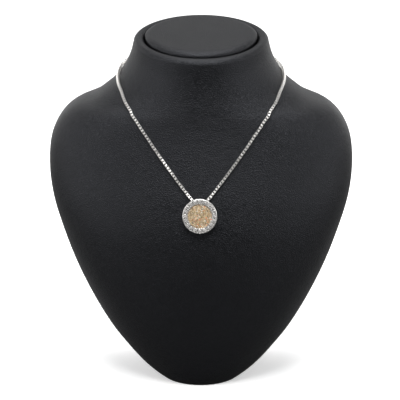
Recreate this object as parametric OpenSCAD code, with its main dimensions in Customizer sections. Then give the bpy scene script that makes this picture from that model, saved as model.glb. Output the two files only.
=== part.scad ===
// Round sand-filled pendant with a halo of cut stones, on a box chain, shown on a leatherette neck bust.
// Millimetres. +Z is up, the front faces -Y, and the origin is the middle of the bust's flat underside.

/* [Neck bust] */
// Width across the shoulders
bust_w = 204; // [184:1:224]
// Depth from the front of the chest to the back
bust_d = 113; // [102:1:124]
// Height of the neck where its rim roll starts, at mid depth
bust_h = 224; // [202:1:246]
// Radius of the padded roll round the top of the neck
rim_roll_r = 3.5; // [2.5:0.1:4.5]
// Depth of the recess inside the rim, below the start of the roll
recess_depth = 1.8; // [1:0.1:4]

/* [Neck cap] */
// Width of the cap's soft rounded edge, seen from above
cap_edge_w = 4.8; // [2:0.1:6]
// Height of the cap's soft rounded edge
cap_edge_h = 2.8; // [1.5:0.1:3.5]
// Height of the cap's top above the start of the rim roll
cap_rise = 5.9; // [5:0.1:6.5]
// Crown of the cap's padded top
cap_crown = 0.5; // [0:0.1:2]

/* [Chain] */
// Thickness of the box chain
chain_d = 1.6; // [1:0.1:1.8]
// Length of the clasp
clasp_len = 9; // [7:0.5:12]
// Thickness of the clasp
clasp_d = 3.2; // [2.4:0.1:3.4]

/* [Pendant] */
// Radius of the circle that the halo stones sit on
halo_r = 9.55; // [9.4:0.05:10]
// Radius of the round collar that holds each stone
collar_r = 1.65; // [1.6:0.05:1.75]
// Thickness of the pendant, from its back to the collars' faces
pendant_t = 4.0; // [3.6:0.1:5]
// Angle that the pendant's face leans back from upright
face_lean = 7; // [6:0.5:9]
// Radius of the sand disk
sand_r = 7.75; // [7.4:0.05:7.75]
// Depth of the sand's edge below the collars' faces
sand_recess = 0.9; // [0.5:0.1:1.2]
// Radius of a stone at its girdle
stone_r = 1.15; // [1:0.05:1.2]

/* [Hidden] */
STONES = 20;
function two_digits(n) = n < 10 ? str("0", n) : str(n);
function stone_name(k) = str("halo_stone_", two_digits(k + 1));

gap = 0.3;
fit_gap = 0.05;
leather_black = [0.09, 0.09, 0.10];
silver = [0.80, 0.80, 0.80];
sand_beige = [0.69, 0.61, 0.50];
stone_clear = [0.85, 0.88, 0.90];

// The bust as a stack of level sections, drawn at its standard size and scaled by the sizes above.
// The front and back halves of a section meet at the side edges. A roundness of 2 is an ellipse, and more
// is boxier. The lean tips a section about its side edges, back end up. The cuts are the mesh strips
// between a section and the next one.
// Columns: height, half width, front, side edge, back, front roundness, back roundness, lean, cuts
SECTIONS = [
    [  0,  28.0, -42.0,  0, 42.0, 2.3, 2.6,  0.0, 1],
    [  4,  34.0, -45.0,  1, 43.5, 2.3, 2.6,  0.0, 1],
    [ 10,  41.0, -47.5,  2, 44.5, 2.4, 2.7,  0.0, 2],
    [ 20,  50.0, -51.0,  3, 45.5, 2.5, 2.9,  0.0, 2],
    [ 34,  61.0, -55.0,  4, 46.5, 2.6, 3.1,  0.0, 3],
    [ 54,  73.0, -58.5,  5, 47.5, 2.7, 3.3,  0.0, 3],
    [ 78,  84.5, -60.0,  5, 48.5, 2.8, 3.4,  0.0, 4],
    [102,  93.5, -58.5,  5, 49.5, 2.8, 3.4,  0.0, 4],
    [122,  99.5, -53.5,  6, 50.5, 2.8, 3.4,  0.0, 4],
    [142, 102.0, -46.9,  7, 51.5, 2.7, 3.3,  1.0, 4],
    [162, 100.5, -40.6,  8, 52.0, 2.6, 3.1,  3.0, 3],
    [175,  94.5, -37.2,  9, 52.5, 2.5, 2.9,  5.0, 3],
    [183,  85.5, -35.6, 10, 53.0, 2.4, 2.8,  7.0, 2],
    [188,  72.5, -34.7, 10, 53.0, 2.4, 2.6,  8.5, 2],
    [193,  65.0, -33.9, 11, 53.0, 2.3, 2.4, 10.0, 2],
    [198,  58.8, -33.1, 12, 53.0, 2.2, 2.2, 11.5, 3],
    [206,  52.4, -31.9, 13, 53.2, 2.1, 2.1, 13.2, 2],
    [215,  47.8, -30.9, 14, 53.4, 2.0, 1.95, 14.2, 2],
    [224,  45.3, -30.4, 14, 53.5, 2.0, 1.82, 15.0, 0]];
COLUMNS = 48;
pattern_h = SECTIONS[len(SECTIONS) - 1][0];
scale_x = bust_w / 204;
scale_y = bust_d / 113;
scale_z = bust_h / pattern_h;

// The chain's way from the middle of the nape (angle 90) round the neck and down to the pendant (angle -90).
// It is marked on the bust's skin, on the +X side only: the other side is its mirror image.
// Columns: distance along the chain, angle round the section, height of the section, lift off the skin
CHAIN_MARKS = [
    [-10.0, 100.8, 209.9, 1.95],
    [  0.0,  90.0, 210.0, 1.95],
    [ 10.0,  79.2, 209.9, 1.70],
    [ 20.0,  68.4, 209.4, 1.20],
    [ 30.0,  57.4, 208.6, 1.10],
    [ 42.0,  44.0, 207.5, 1.10],
    [ 54.0,  30.0, 206.1, 1.10],
    [ 64.0,  18.0, 204.8, 1.10],
    [ 74.0,   5.4, 203.5, 1.10],
    [ 84.0,  -7.3, 202.0, 1.10],
    [ 94.0, -20.0, 200.0, 1.10],
    [102.0, -29.9, 197.8, 1.10],
    [110.0, -39.9, 194.4, 1.10],
    [118.5, -50.3, 189.8, 1.10],
    [126.0, -59.4, 185.0, 1.10],
    [132.5, -65.0, 180.4, 1.10],
    [142.5, -70.3, 172.2, 1.10],
    [153.0, -74.2, 163.7, 1.10],
    [163.0, -77.5, 155.2, 1.10],
    [173.5, -80.6, 146.8, 1.10],
    [184.0, -83.6, 138.5, 1.10],
    [191.0, -85.7, 132.9, 1.25],
    [195.0, -86.9, 129.7, 1.60],
    [198.0, -87.9, 127.6, 1.95],
    [200.5, -88.9, 126.2, 2.20],
    [203.0, -90.0, 125.7, 2.30],
    [205.5, -91.1, 126.2, 2.20]];
chain_half = CHAIN_MARKS[len(CHAIN_MARKS) - 2][0];

// The tangent of column c at mark k, taken across its neighbours
function slope(table, c, k) =
    let (a = max(k - 1, 0), b = min(k + 1, len(table) - 1))
    (table[b][c] - table[a][c]) / (table[b][0] - table[a][0]);

// Column c of a table, read at x on a smooth curve through its rows
function smooth(table, c, x) =
    let (k = max(concat([0], [for (i = [0:len(table) - 2]) if (table[i][0] <= x) i])),
         p = table[k], q = table[k + 1], run = q[0] - p[0], t = (x - p[0]) / run)
    (2 * t^3 - 3 * t^2 + 1) * p[c] + (t^3 - 2 * t^2 + t) * run * slope(table, c, k)
    + (3 * t^2 - 2 * t^3) * q[c] + (t^3 - t^2) * run * slope(table, c, k + 1);

function section(h) = [for (c = [0:7]) c == 0 ? h : smooth(SECTIONS, c, h)];

// A point on a section: the angle runs from 0 at the right edge to 90 at the back and -90 at the front
function section_point(sec, angle, inset = 0, rise = 0) =
    let (s = sin(angle), c = cos(angle), front = s < 0,
         reach = (front ? sec[3] - sec[2] : sec[4] - sec[3]) * scale_y - inset,
         roundness = front ? sec[5] : sec[6],
         off = reach * s)
    [sign(c) * (sec[1] * scale_x - inset) * sqrt(max(0, 1 - abs(s)^roundness)),
     sec[3] * scale_y + off,
     (sec[0] + off / scale_y * tan(sec[7])) * scale_z + rise];

function skin(h, angle) = section_point(section(h), angle);
function unit(v) = v / norm(v);
function skin_normal(h, angle) =
    let (e = 0.05)
    unit(cross(skin(h, angle + e) - skin(h, angle - e), skin(h + e, angle) - skin(h - e, angle)));

// A closed mesh from rings of equal length, listed from the bottom up, each running anticlockwise from above
module skinned(rings) {
    n = len(rings[0]);
    last = (len(rings) - 1) * n;
    sides = [for (j = [0:len(rings) - 2], i = [0:n - 1], half = [0, 1])
        let (i2 = (i + 1) % n, a = j * n + i, b = j * n + i2)
        half == 0 ? [a, a + n, b + n] : [a, b + n, b]];
    polyhedron([for (ring = rings, p = ring) p],
               concat([[for (i = [0:n - 1]) i]], sides, [[for (i = [n - 1:-1:0]) last + i]]));
}

ring_angles = [for (i = [0:COLUMNS - 1]) -180 + 360 * i / COLUMNS];
neck_top = section(pattern_h);
function top_ring(inset, rise) = [for (a = ring_angles) section_point(neck_top, a, inset, rise)];
wall_heights = [for (i = [0:len(SECTIONS) - 2], j = [0:SECTIONS[i][8] - 1])
    SECTIONS[i][0] + (SECTIONS[i + 1][0] - SECTIONS[i][0]) * j / SECTIONS[i][8]];
inner_roll_r = 3.7;
recess_inset = rim_roll_r + inner_roll_r;

// The bust: flat foot, heart-shaped chest, shoulders, leaning neck, rim roll and the recess for the cap
module neck_bust() {
    wall = [for (h = wall_heights) let (sec = section(h)) [for (a = ring_angles) section_point(sec, a)]];
    outer_roll = [for (t = [0:22.5:90]) top_ring(rim_roll_r * (1 - cos(t)), rim_roll_r * sin(t))];
    inner_roll = [for (t = [30:30:90])
        top_ring(rim_roll_r + inner_roll_r * sin(t), rim_roll_r - inner_roll_r * (1 - cos(t)))];
    recess_floor = top_ring(recess_inset, -recess_depth);
    color(leather_black) skinned(concat(wall, outer_roll, inner_roll, [recess_floor]));
}

// The padded cap that fills the recess in the top of the neck
module neck_cap() {
    side = recess_inset + gap;
    centre = [0, neck_top[3] * scale_y, pattern_h * scale_z];
    foot = top_ring(side, gap - recess_depth);
    edge = [for (t = [0:22.5:90])
        top_ring(side + cap_edge_w * (1 - cos(t)), cap_rise - cap_edge_h * (1 - sin(t)))];
    lip = edge[len(edge) - 1];
    crown = [for (k = [0.8, 0.5, 0.2]) [for (p = lip)
        [p.x * k, centre.y + (p.y - centre.y) * k,
         centre.z + cap_rise + (p.z - centre.z - cap_rise) * k + cap_crown * (1 - k^2)]]];
    color(leather_black) skinned(concat([foot], edge, crown));
}

function mark(t, c) = smooth(CHAIN_MARKS, c, t);
function chain_right(t) =
    let (angle = mark(t, 1), h = mark(t, 2)) skin(h, angle) + skin_normal(h, angle) * mark(t, 3);
function mirrored(p) = [-p.x, p.y, p.z];
function chain_point(t) = t <= chain_half ? chain_right(t) : mirrored(chain_right(2 * chain_half - t));
function chain_out(t) =
    t <= chain_half ? skin_normal(mark(t, 2), mark(t, 1))
    : mirrored(skin_normal(mark(2 * chain_half - t, 2), mark(2 * chain_half - t, 1)));

chain_sides = 8;
long_steps = 34;
bend_steps = 12;
bend_step = 1.5;
chain_start = clasp_len / 2 + 2 * gap;
bend_start = chain_half - bend_step * bend_steps / 2;
long_step = (bend_start - chain_start) / long_steps;
// Ring places from one end of the clasp to the other, closer together where the chain turns in the bail
run_down = [for (i = [0:long_steps - 1]) chain_start + i * long_step];
chain_stops = concat(run_down, [for (i = [0:bend_steps]) bend_start + i * bend_step],
                     [for (i = [long_steps - 1:-1:0]) 2 * chain_half - run_down[i]]);

// The chain: one tube along the whole loop, from one end of the clasp to the other
module chain() {
    rings = [for (t = chain_stops)
        let (p = chain_point(t),
             along = unit(chain_point(t + 0.2) - chain_point(t - 0.2)),
             side = unit(cross(along, chain_out(t))), out = cross(side, along))
        [for (i = [0:chain_sides - 1])
            p + chain_d / 2 * (cos(360 * i / chain_sides) * side + sin(360 * i / chain_sides) * out)]];
    color(silver) skinned(rings);
}

// The clasp, a plain barrel at the nape
module clasp() {
    r = clasp_d / 2;
    end_r = chain_d / 2 + gap;
    end_z = clasp_len / 2;
    collar_z = end_z - 0.9;
    barrel_z = collar_z - 1;
    color(silver) translate(chain_point(0)) rotate([0, 90, 0]) rotate_extrude($fn = 48)
        polygon([[0, -end_z], [end_r, -end_z], [end_r, -collar_z], [r, -barrel_z],
                 [r, barrel_z], [end_r, collar_z], [end_r, end_z], [0, end_z]]);
}

// The pendant is drawn in its own frame: +Z out of its face, +Y up its face, its back at Z 0
bail_in_r = 1.3;
bail_out_r = 2.0;
bail_len = 3;
bail_up = 7.6;
bail_drop = 1.45;
back_r = 10.2;
back_t = 0.9;
back_edge = 0.6;
cone_top_z = 1.7;
rim_r = halo_r + collar_r - 0.25;
cup_r = sand_r + 0.1;
lip_t = 0.3;
lip_z = pendant_t - 0.1;
field_z = pendant_t - 0.35;
girdle_z = pendant_t - 0.15;
function stone_angle(k) = 90 + 360 / STONES * k;

// The lowest point of the chain lies in the middle of the bail's bore
module in_pendant_frame() {
    translate(chain_point(chain_half)) rotate([90 - face_lean, 0, 0]) translate([0, -bail_up, bail_drop])
        children();
}

module at_stone(k) {
    rotate(stone_angle(k)) translate([halo_r, 0, 0]) children();
}

// The ring of round collars, one for each stone, that gives the halo its scalloped edge
module collars() {
    foot_z = 2;
    translate([0, 0, foot_z]) linear_extrude(pendant_t - foot_z)
        for (k = [0:STONES - 1]) rotate(stone_angle(k)) translate([halo_r, 0]) circle(r = collar_r, $fn = 48);
}

// The room for one stone: a bore down to below its girdle, then a cone for its pavilion
module stone_seat() {
    bore_r = stone_r + fit_gap;
    tip_r = 0.2;
    cone_h = 1.1;
    shoulder_z = girdle_z - 0.15;
    translate([0, 0, shoulder_z]) cylinder(r = bore_r, h = 1, $fn = 48);
    translate([0, 0, shoulder_z - cone_h]) cylinder(r1 = tip_r, r2 = bore_r, h = cone_h, $fn = 48);
}

// The setting, soldered into one piece: cup, halo ring with its collars, and the bail behind the top
module pendant_setting() {
    color(silver) in_pendant_frame() difference() {
        union() {
            rotate_extrude($fn = 96)
                polygon([[0, 0], [back_r - back_edge, 0], [back_r, back_edge], [rim_r, cone_top_z],
                         [rim_r, field_z], [cup_r + lip_t, field_z], [cup_r + lip_t, lip_z],
                         [cup_r, lip_z], [cup_r, back_t], [0, back_t]]);
            collars();
            translate([-bail_len / 2, bail_up, -bail_drop]) rotate([0, 90, 0])
                cylinder(r = bail_out_r, h = bail_len, $fn = 48);
        }
        for (k = [0:STONES - 1]) at_stone(k) stone_seat();
        translate([-bail_len, bail_up, -bail_drop]) rotate([0, 90, 0])
            cylinder(r = bail_in_r, h = 2 * bail_len, $fn = 48);
    }
}

// The sand set in resin, with a slightly domed face
module sand_disk() {
    edge_z = pendant_t - sand_recess;
    dome = 0.4;
    color(sand_beige) in_pendant_frame() rotate_extrude($fn = 96)
        polygon(concat([[0, back_t + gap], [sand_r, back_t + gap]],
                       [for (k = [10:-1:0]) [sand_r * k / 10, edge_z + dome * (1 - (k / 10)^2)]]));
}

// A round brilliant: an eight-sided table, stars, kites, girdle, and a pavilion to a point
module halo_stone(k) {
    crown = 0.38;
    girdle = 0.06;
    pavilion = 0.92;
    table_r = 0.58 * stone_r;
    star_r = 0.82 * stone_r;
    lower_r = 0.3 * stone_r;
    star_z = girdle + crown * (stone_r - star_r * cos(22.5)) / (stone_r - table_r);
    lower_z = -pavilion * (stone_r - lower_r * cos(22.5)) / stone_r;
    points = concat(
        [for (i = [0:7]) [table_r * cos(45 * i), table_r * sin(45 * i), girdle + crown]],
        [for (i = [0:7]) [star_r * cos(45 * i + 22.5), star_r * sin(45 * i + 22.5), star_z]],
        [for (i = [0:15]) [stone_r * cos(22.5 * i), stone_r * sin(22.5 * i), girdle]],
        [for (i = [0:15]) [stone_r * cos(22.5 * i), stone_r * sin(22.5 * i), 0]],
        [for (i = [0:7]) [lower_r * cos(45 * i + 22.5), lower_r * sin(45 * i + 22.5), lower_z]],
        [[0, 0, -pavilion]]);
    // First point of each ring: table 0, stars 8, upper girdle 16, lower girdle 32, lower kites 48, culet 56
    faces = concat(
        [[for (i = [7:-1:0]) i]],
        [for (i = [0:7]) let (j = (i + 1) % 8, m = (i + 7) % 8, g = 2 * i, g2 = (2 * i + 2) % 16) each [
            [i, j, 8 + i],
            [i, 8 + i, 16 + g], [i, 16 + g, 8 + m],
            [8 + i, 16 + g + 1, 16 + g], [8 + i, 16 + g2, 16 + g + 1],
            [48 + i, 32 + g, 32 + g + 1], [48 + i, 32 + g + 1, 32 + g2],
            [56, 32 + g, 48 + i], [56, 48 + m, 32 + g]]],
        [for (i = [0:15]) let (j = (i + 1) % 16) each [
            [16 + i, 16 + j, 32 + j], [16 + i, 32 + j, 32 + i]]]);
    color(stone_clear) in_pendant_frame() at_stone(k) translate([0, 0, girdle_z]) polyhedron(points, faces);
}

neck_bust();
neck_cap();
chain();
clasp();
pendant_setting();
sand_disk();
for (k = [0:STONES - 1]) halo_stone(k);
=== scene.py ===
"""The looks of a round sand-filled pendant on a box chain, shown on a leatherette neck bust.

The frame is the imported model's: +Z is up, the front faces -Y, and the origin is under the bust.
Sizes in this file are millimetres, and become metres where a mesh is made.
"""

import logging
import math
from collections.abc import Callable, Iterable, Sequence
from dataclasses import dataclass, field
from enum import Enum

import bpy
import numpy as np
from bpy.types import Material, Mesh, Node, NodeSocket, NodeTree, Object
from mathutils import Matrix, Vector


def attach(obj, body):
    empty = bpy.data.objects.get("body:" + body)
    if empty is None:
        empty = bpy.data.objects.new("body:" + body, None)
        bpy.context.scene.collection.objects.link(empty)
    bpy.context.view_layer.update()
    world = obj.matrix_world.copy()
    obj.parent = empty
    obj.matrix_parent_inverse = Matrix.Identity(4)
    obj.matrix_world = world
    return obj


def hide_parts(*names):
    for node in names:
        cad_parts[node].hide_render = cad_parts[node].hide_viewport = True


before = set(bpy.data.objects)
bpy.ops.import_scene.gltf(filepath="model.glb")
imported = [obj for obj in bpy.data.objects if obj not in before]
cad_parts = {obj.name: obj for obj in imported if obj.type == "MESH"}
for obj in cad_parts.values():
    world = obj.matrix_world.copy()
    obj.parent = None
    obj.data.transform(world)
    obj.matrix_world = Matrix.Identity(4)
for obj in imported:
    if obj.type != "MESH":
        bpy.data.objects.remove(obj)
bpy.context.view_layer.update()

LOG = logging.getLogger("pendant")
MM = 0.001
BODY = "root"

Colour = tuple[float, float, float]
Profile = Sequence[tuple[float, float]]
TO_X = Matrix.Rotation(math.radians(90), 4, "Y")  # lays the axis of a turned shape along X

# The bust's level sections. A roundness of 2 is an ellipse, and the lean tips a section, back end up.
# Columns: height, half width, front, side edge, back, front roundness, back roundness, lean
SECTIONS = (
    (0, 28.0, -42.0, 0, 42.0, 2.3, 2.6, 0.0),
    (4, 34.0, -45.0, 1, 43.5, 2.3, 2.6, 0.0),
    (10, 41.0, -47.5, 2, 44.5, 2.4, 2.7, 0.0),
    (20, 50.0, -51.0, 3, 45.5, 2.5, 2.9, 0.0),
    (34, 61.0, -55.0, 4, 46.5, 2.6, 3.1, 0.0),
    (54, 73.0, -58.5, 5, 47.5, 2.7, 3.3, 0.0),
    (78, 84.5, -60.0, 5, 48.5, 2.8, 3.4, 0.0),
    (102, 93.5, -58.5, 5, 49.5, 2.8, 3.4, 0.0),
    (122, 99.5, -53.5, 6, 50.5, 2.8, 3.4, 0.0),
    (142, 102.0, -46.9, 7, 51.5, 2.7, 3.3, 1.0),
    (162, 100.5, -40.6, 8, 52.0, 2.6, 3.1, 3.0),
    (175, 94.5, -37.2, 9, 52.5, 2.5, 2.9, 5.0),
    (183, 85.5, -35.6, 10, 53.0, 2.4, 2.8, 7.0),
    (188, 72.5, -34.7, 10, 53.0, 2.4, 2.6, 8.5),
    (193, 65.0, -33.9, 11, 53.0, 2.3, 2.4, 10.0),
    (198, 58.8, -33.1, 12, 53.0, 2.2, 2.2, 11.5),
    (206, 52.4, -31.9, 13, 53.2, 2.1, 2.1, 13.2),
    (215, 47.8, -30.9, 14, 53.4, 2.0, 1.95, 14.2),
    (224, 45.3, -30.4, 14, 53.5, 2.0, 1.82, 15.0),
)

# The chain's way from the nape (angle 90) to the pendant (angle -90), on the bust's skin on the +X side.
# Columns: distance along the chain, angle round the section, height of the section, lift off the skin
CHAIN_MARKS = (
    (-10.0, 100.8, 209.9, 1.95),
    (0.0, 90.0, 210.0, 1.95),
    (10.0, 79.2, 209.9, 1.70),
    (20.0, 68.4, 209.4, 1.20),
    (30.0, 57.4, 208.6, 1.10),
    (42.0, 44.0, 207.5, 1.10),
    (54.0, 30.0, 206.1, 1.10),
    (64.0, 18.0, 204.8, 1.10),
    (74.0, 5.4, 203.5, 1.10),
    (84.0, -7.3, 202.0, 1.10),
    (94.0, -20.0, 200.0, 1.10),
    (102.0, -29.9, 197.8, 1.10),
    (110.0, -39.9, 194.4, 1.10),
    (118.5, -50.3, 189.8, 1.10),
    (126.0, -59.4, 185.0, 1.10),
    (132.5, -65.0, 180.4, 1.10),
    (142.5, -70.3, 172.2, 1.10),
    (153.0, -74.2, 163.7, 1.10),
    (163.0, -77.5, 155.2, 1.10),
    (173.5, -80.6, 146.8, 1.10),
    (184.0, -83.6, 138.5, 1.10),
    (191.0, -85.7, 132.9, 1.25),
    (195.0, -86.9, 129.7, 1.60),
    (198.0, -87.9, 127.6, 1.95),
    (200.5, -88.9, 126.2, 2.20),
    (203.0, -90.0, 125.7, 2.30),
    (205.5, -91.1, 126.2, 2.20),
)


class SmoothTable:
    """A table that is read on a smooth curve through its rows, by its first column."""

    def __init__(self, rows: Sequence[Sequence[float]]) -> None:
        """Keeps the rows as an array."""
        self.rows = np.array(rows, float)

    def slope(self, k: int) -> np.ndarray:
        """The tangent of every column at row k, taken across its neighbours."""
        low, high = self.rows[max(k - 1, 0)], self.rows[min(k + 1, len(self.rows) - 1)]
        return (high - low) / (high[0] - low[0])

    def at(self, x: float) -> np.ndarray:
        """Reads the table.

        Args:
            x: A value of the first column.

        Returns:
            Every column's value at x.
        """
        k = int(np.clip(np.searchsorted(self.rows[:, 0], x, side="right") - 1, 0, len(self.rows) - 2))
        p, q = self.rows[k], self.rows[k + 1]
        run = q[0] - p[0]
        t = (x - p[0]) / run
        fixed = (2 * t**3 - 3 * t**2 + 1) * p + (3 * t**2 - 2 * t**3) * q
        return fixed + run * ((t**3 - 2 * t**2 + t) * self.slope(k) + (t**3 - t**2) * self.slope(k + 1))


def full_turn(columns: int) -> np.ndarray:
    """Degrees of evenly spaced columns round a section, from -180."""
    return -180 + 360 * np.arange(columns) / columns


class BustSkin:
    """The outer skin of the bust, as a stack of level sections."""

    def __init__(self) -> None:
        """Reads the sections."""
        self.table = SmoothTable(SECTIONS)
        self.top_height = float(SECTIONS[-1][0])

    def ring(self, height: float, angles: np.ndarray, inset: float = 0.0, rise: float = 0.0) -> np.ndarray:
        """Points round one section.

        Args:
            height: Height of the section at its side edges.
            angles: Degrees round the section: 0 at the right edge, 90 at the back, -90 at the front.
            inset: How far the points lie inside the section's edge.
            rise: How far they lie above the section.

        Returns:
            One row of x, y and z for each angle.
        """
        _, half_width, front, edge, back, front_round, back_round, lean = self.table.at(height)
        s, c = np.sin(np.radians(angles)), np.cos(np.radians(angles))
        is_front = s < 0
        off = (np.where(is_front, edge - front, back - edge) - inset) * s
        roundness = np.where(is_front, front_round, back_round)
        bulge = np.sqrt(np.maximum(0, 1 - np.abs(s) ** roundness))
        x = np.sign(np.round(c, 12)) * (half_width - inset) * bulge
        return np.stack([x, edge + off, height + off * math.tan(math.radians(lean)) + rise], axis=1)

    def point(self, height: float, angle: float) -> np.ndarray:
        """One point of the skin."""
        return self.ring(height, np.array([angle]))[0]

    def outward(self, height: float, angle: float) -> np.ndarray:
        """The unit vector that points away from the skin.

        Args:
            height: Height of the section.
            angle: Degrees round it.

        Returns:
            The vector.
        """
        step = 0.05
        across = self.point(height, angle + step) - self.point(height, angle - step)
        up = self.point(height + step, angle) - self.point(height - step, angle)
        normal = np.cross(across, up)
        return normal / np.linalg.norm(normal)


class ChainRoute:
    """The middle line of the chain, from the nape to the pendant and back up the other side."""

    def __init__(self, skin: BustSkin) -> None:
        """Reads the marks on the skin.

        Args:
            skin: The skin that the chain lies on.
        """
        self.skin = skin
        self.marks = SmoothTable(CHAIN_MARKS)
        self.half = float(CHAIN_MARKS[-2][0])

    def at(self, along: float) -> tuple[np.ndarray, np.ndarray]:
        """One place on the route.

        Args:
            along: Distance from the middle of the nape, down the +X side first.

        Returns:
            The point, and the unit vector that points away from the skin there.
        """
        mirrored = along > self.half
        _, angle, height, lift = self.marks.at(2 * self.half - along if mirrored else along)
        out = self.skin.outward(height, angle)
        point = self.skin.point(height, angle) + lift * out
        side = np.array([-1.0 if mirrored else 1.0, 1.0, 1.0])
        return point * side, out * side

    def pendant_place(self, lean: float, bail_up: float, bail_drop: float) -> Matrix:
        """Where the pendant hangs.

        Args:
            lean: Degrees that its face leans back from upright.
            bail_up: How far the bail's bore is above the pendant's middle.
            bail_drop: How far the bore is behind its back.

        Returns:
            The matrix from the pendant's own frame (+Z out of its face, +Y up) to the bust's.
        """
        lowest, _ = self.at(self.half)
        turn = Matrix.Rotation(math.radians(90 - lean), 4, "X")
        return Matrix.Translation(Vector(lowest)) @ turn @ Matrix.Translation((0, -bail_up, bail_drop))


def linked(name: str, data: bpy.types.ID) -> Object:
    """Makes an object from its data and links it to the scene.

    Args:
        name: Name of the object.
        data: Its mesh, light or camera.

    Returns:
        The object.
    """
    made = bpy.data.objects.new(name, data)
    bpy.context.scene.collection.objects.link(made)
    return made


def new_object(name: str, points: np.ndarray, faces: Iterable[Sequence[int]], smooth: bool = True,
               place: Matrix | None = None) -> Object:
    """Makes a mesh object at the origin from points in millimetres.

    Args:
        name: Name of the object and its mesh.
        points: One row of x, y and z for each vertex.
        faces: Vertex numbers of each face, anticlockwise from outside.
        smooth: Whether its faces are shaded smooth.
        place: Matrix in millimetres that moves the points first.

    Returns:
        The new object, linked to the scene.
    """
    mesh = bpy.data.meshes.new(name)
    placed = [(place @ Vector(p) if place else Vector(p)) * MM for p in points]
    mesh.from_pydata(placed, [], [list(f) for f in faces])
    mesh.update()
    mesh.polygons.foreach_set("use_smooth", [smooth] * len(mesh.polygons))
    return linked(name, mesh)


def store(mesh: Mesh, name: str, values: Sequence[float]) -> None:
    """Stores a number at each point of a mesh."""
    mesh.attributes.new(name, "FLOAT", "POINT").data.foreach_set("value", values)


def dress(piece: Object, slot: str, *nodes: str, material: Material | None = None) -> Object:
    """Hangs a finished piece on the body.

    Args:
        piece: The piece.
        slot: Its material slot; not used.
        nodes: The nodes that it stands for.
        material: Its material, where its mesh has none yet.

    Returns:
        The same piece.
    """
    if material:
        piece.data.materials.append(material)
    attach(piece, BODY)
    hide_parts(*nodes)
    return piece


def lathe(profile: Profile, segments: int) -> list[np.ndarray]:
    """The rings of a turned shape: one for each radius and height of the profile.

    Args:
        profile: From the bottom up outside, and down again inside a hollow.
        segments: Number of sides.

    Returns:
        The rings, each anticlockwise from above.
    """
    angle = np.arange(segments) * 2 * math.pi / segments
    c, s = np.cos(angle), np.sin(angle)
    return [np.stack([r * c, r * s, np.full(segments, z)], axis=1) for r, z in profile]


def walls(rings: int, n: int, joined: bool = False) -> list[tuple[int, ...]]:
    """The faces between rings of n points, and from the last ring to the first where joined is set."""
    pairs = [(j * n, (j + 1) % rings * n) for j in range(rings if joined else rings - 1)]
    return [(a + i, a + (i + 1) % n, b + (i + 1) % n, b + i) for a, b in pairs for i in range(n)]


def skinned(name: str, rings: Sequence[np.ndarray], place: Matrix | None = None) -> Object:
    """Makes a closed smooth mesh from rings of equal length.

    Args:
        name: Name of the object.
        rings: From the bottom up, each anticlockwise from above. The first and last are closed by a fan.
        place: Matrix in millimetres that moves the points first.

    Returns:
        The new object.
    """
    n = len(rings[0])
    points = np.concatenate([*rings, [rings[0].mean(axis=0)], [rings[-1].mean(axis=0)]])
    low, high, last = len(points) - 2, len(points) - 1, (len(rings) - 1) * n
    sides = [(i, (i + 1) % n) for i in range(n)]
    fans = [(low, b, a) for a, b in sides] + [(high, last + a, last + b) for a, b in sides]
    return new_object(name, points, walls(len(rings), n) + fans, place=place)


def arc(r: float, z: float, radius: float, start: float, end: float, steps: int) -> list[tuple[float, float]]:
    """Points of a profile round (r, z), from start to end degrees: 0 points outwards and 90 up."""
    turns = np.radians(np.linspace(start, end, steps + 1))
    return [(r + radius * math.cos(t), z + radius * math.sin(t)) for t in turns]


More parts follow.
